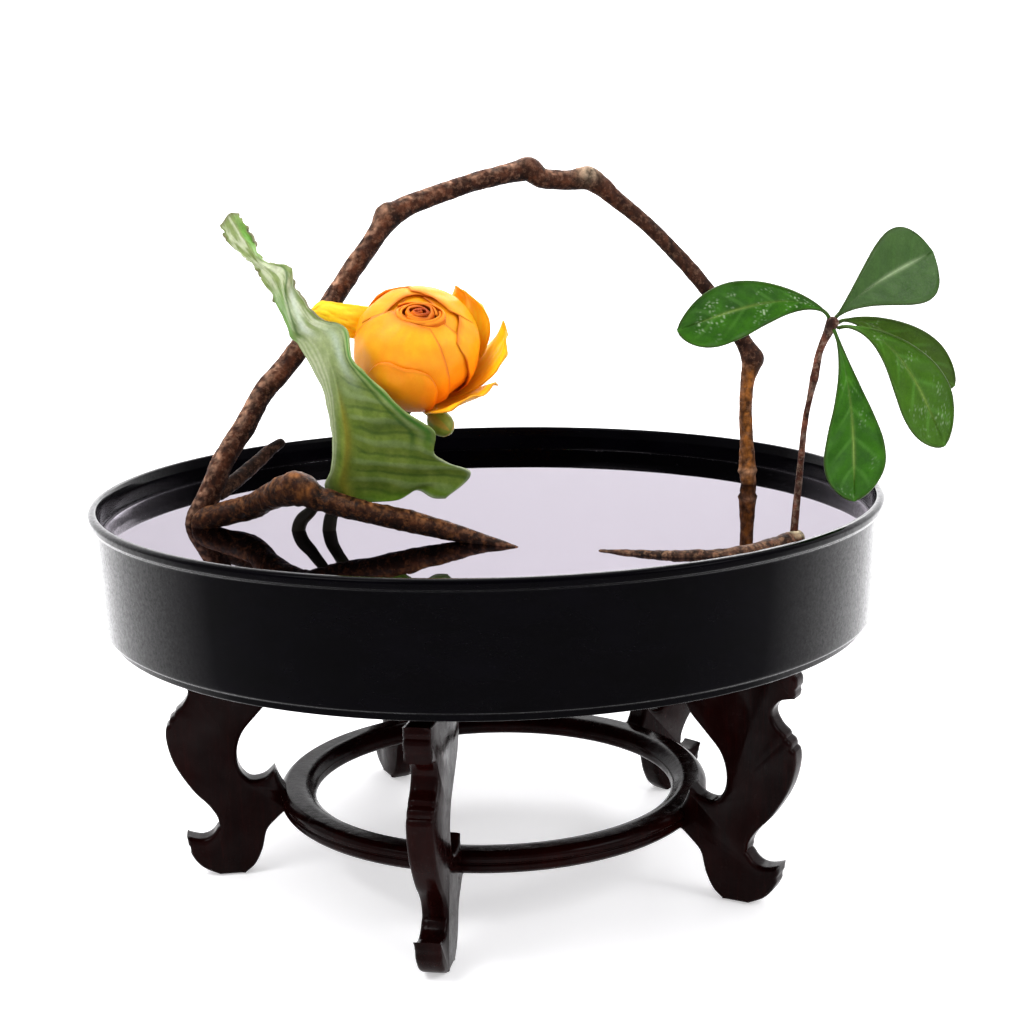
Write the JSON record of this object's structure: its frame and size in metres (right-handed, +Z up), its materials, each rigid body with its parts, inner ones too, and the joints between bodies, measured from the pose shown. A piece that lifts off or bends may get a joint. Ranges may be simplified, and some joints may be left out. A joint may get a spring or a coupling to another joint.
{
  "type": "flower frog water dish arrangement",
  "caption": "Round water dish on a carved leg stand, with pin-type flower frogs holding a forked branch, a broad leaf, a flower and a leafy sprig; every placed piece lifts off.",
  "frame": {"origin": "on the floor, under the centre of the round dish and its stand", "axes": "+Z up, -Y towards the viewer (the front leg's side), +X to the viewer's right, along the widest way across dish and sprig"},
  "size_m": [0.3162, 0.3, 0.2724],
  "materials": {
    "rosewood": "dark polished",
    "dowel_wood": "raw",
    "black_lacquer": "gloss",
    "frog_metal": "dull cast",
    "pin_brass": "bright",
    "frog_rubber": "matte",
    "bark": "rough bark",
    "broad_leaf": "soft satin",
    "green_stem": "smooth",
    "petal": "soft",
    "sprig_leaf": "waxy",
    "water": "still surface"
  },
  "bodies": {
    "stand": {"top_frame": "rosewood", "top_panel": "rosewood", "leg_1": "rosewood", "leg_2": "rosewood", "leg_3": "rosewood", "leg_4": "rosewood", "leg_5": "rosewood", "ring_stretcher": "rosewood", "frame_dowels": "dowel_wood", "ring_dowels": "dowel_wood"},
    "dish_body": {"dish": "black_lacquer"},
    "main_frog": {"main_frog_base": "frog_metal", "main_frog_pins": "pin_brass", "main_frog_rubber_ring": "frog_rubber"},
    "side_frog": {"side_frog_base": "frog_metal", "side_frog_pins": "pin_brass", "side_frog_rubber_ring": "frog_rubber"},
    "branch": {"arch_branch": "bark", "low_branch": "bark", "twig_stub": "bark"},
    "leaf": {"leaf_blade": "broad_leaf", "leaf_stalk": "green_stem"},
    "flower": {"flower_heart": "petal", "outer_petal_1": "petal", "outer_petal_2": "petal", "outer_petal_3": "petal", "outer_petal_4": "petal", "outer_petal_5": "petal", "outer_petal_6": "petal", "flower_calyx": "green_stem", "flower_bud": "green_stem", "flower_stem": "green_stem"},
    "sprig": {"sprig_log": "bark", "sprig_stem": "bark", "sprig_leaf_1": "sprig_leaf", "sprig_leaf_2": "sprig_leaf", "sprig_leaf_3": "sprig_leaf", "sprig_leaf_4": "sprig_leaf", "sprig_leaf_5": "sprig_leaf"}
  },
  "joints": [
    {"name": "dish_lift", "type": "slide", "parent": "stand", "child": "dish_body", "axis": [0, 0, 1], "range_m": [0, 0.12]},
    {"name": "main_frog_lift", "type": "slide", "parent": "dish_body", "child": "main_frog", "axis": [0, 0, 1], "range_m": [0, 0.06]},
    {"name": "side_frog_lift", "type": "slide", "parent": "dish_body", "child": "side_frog", "axis": [0, 0, 1], "range_m": [0, 0.06]},
    {"name": "branch_lift", "type": "slide", "parent": "main_frog", "child": "branch", "axis": [0, 0, 1], "range_m": [0, 0.17]},
    {"name": "leaf_lift", "type": "slide", "parent": "branch", "child": "leaf", "axis": [0, 0, 1], "range_m": [0, 0.16]},
    {"name": "flower_lift", "type": "slide", "parent": "leaf", "child": "flower", "axis": [0, 0, 1], "range_m": [0, 0.14]},
    {"name": "sprig_lift", "type": "slide", "parent": "side_frog", "child": "sprig", "axis": [0, 0, 1], "range_m": [0, 0.17]}
  ]
}
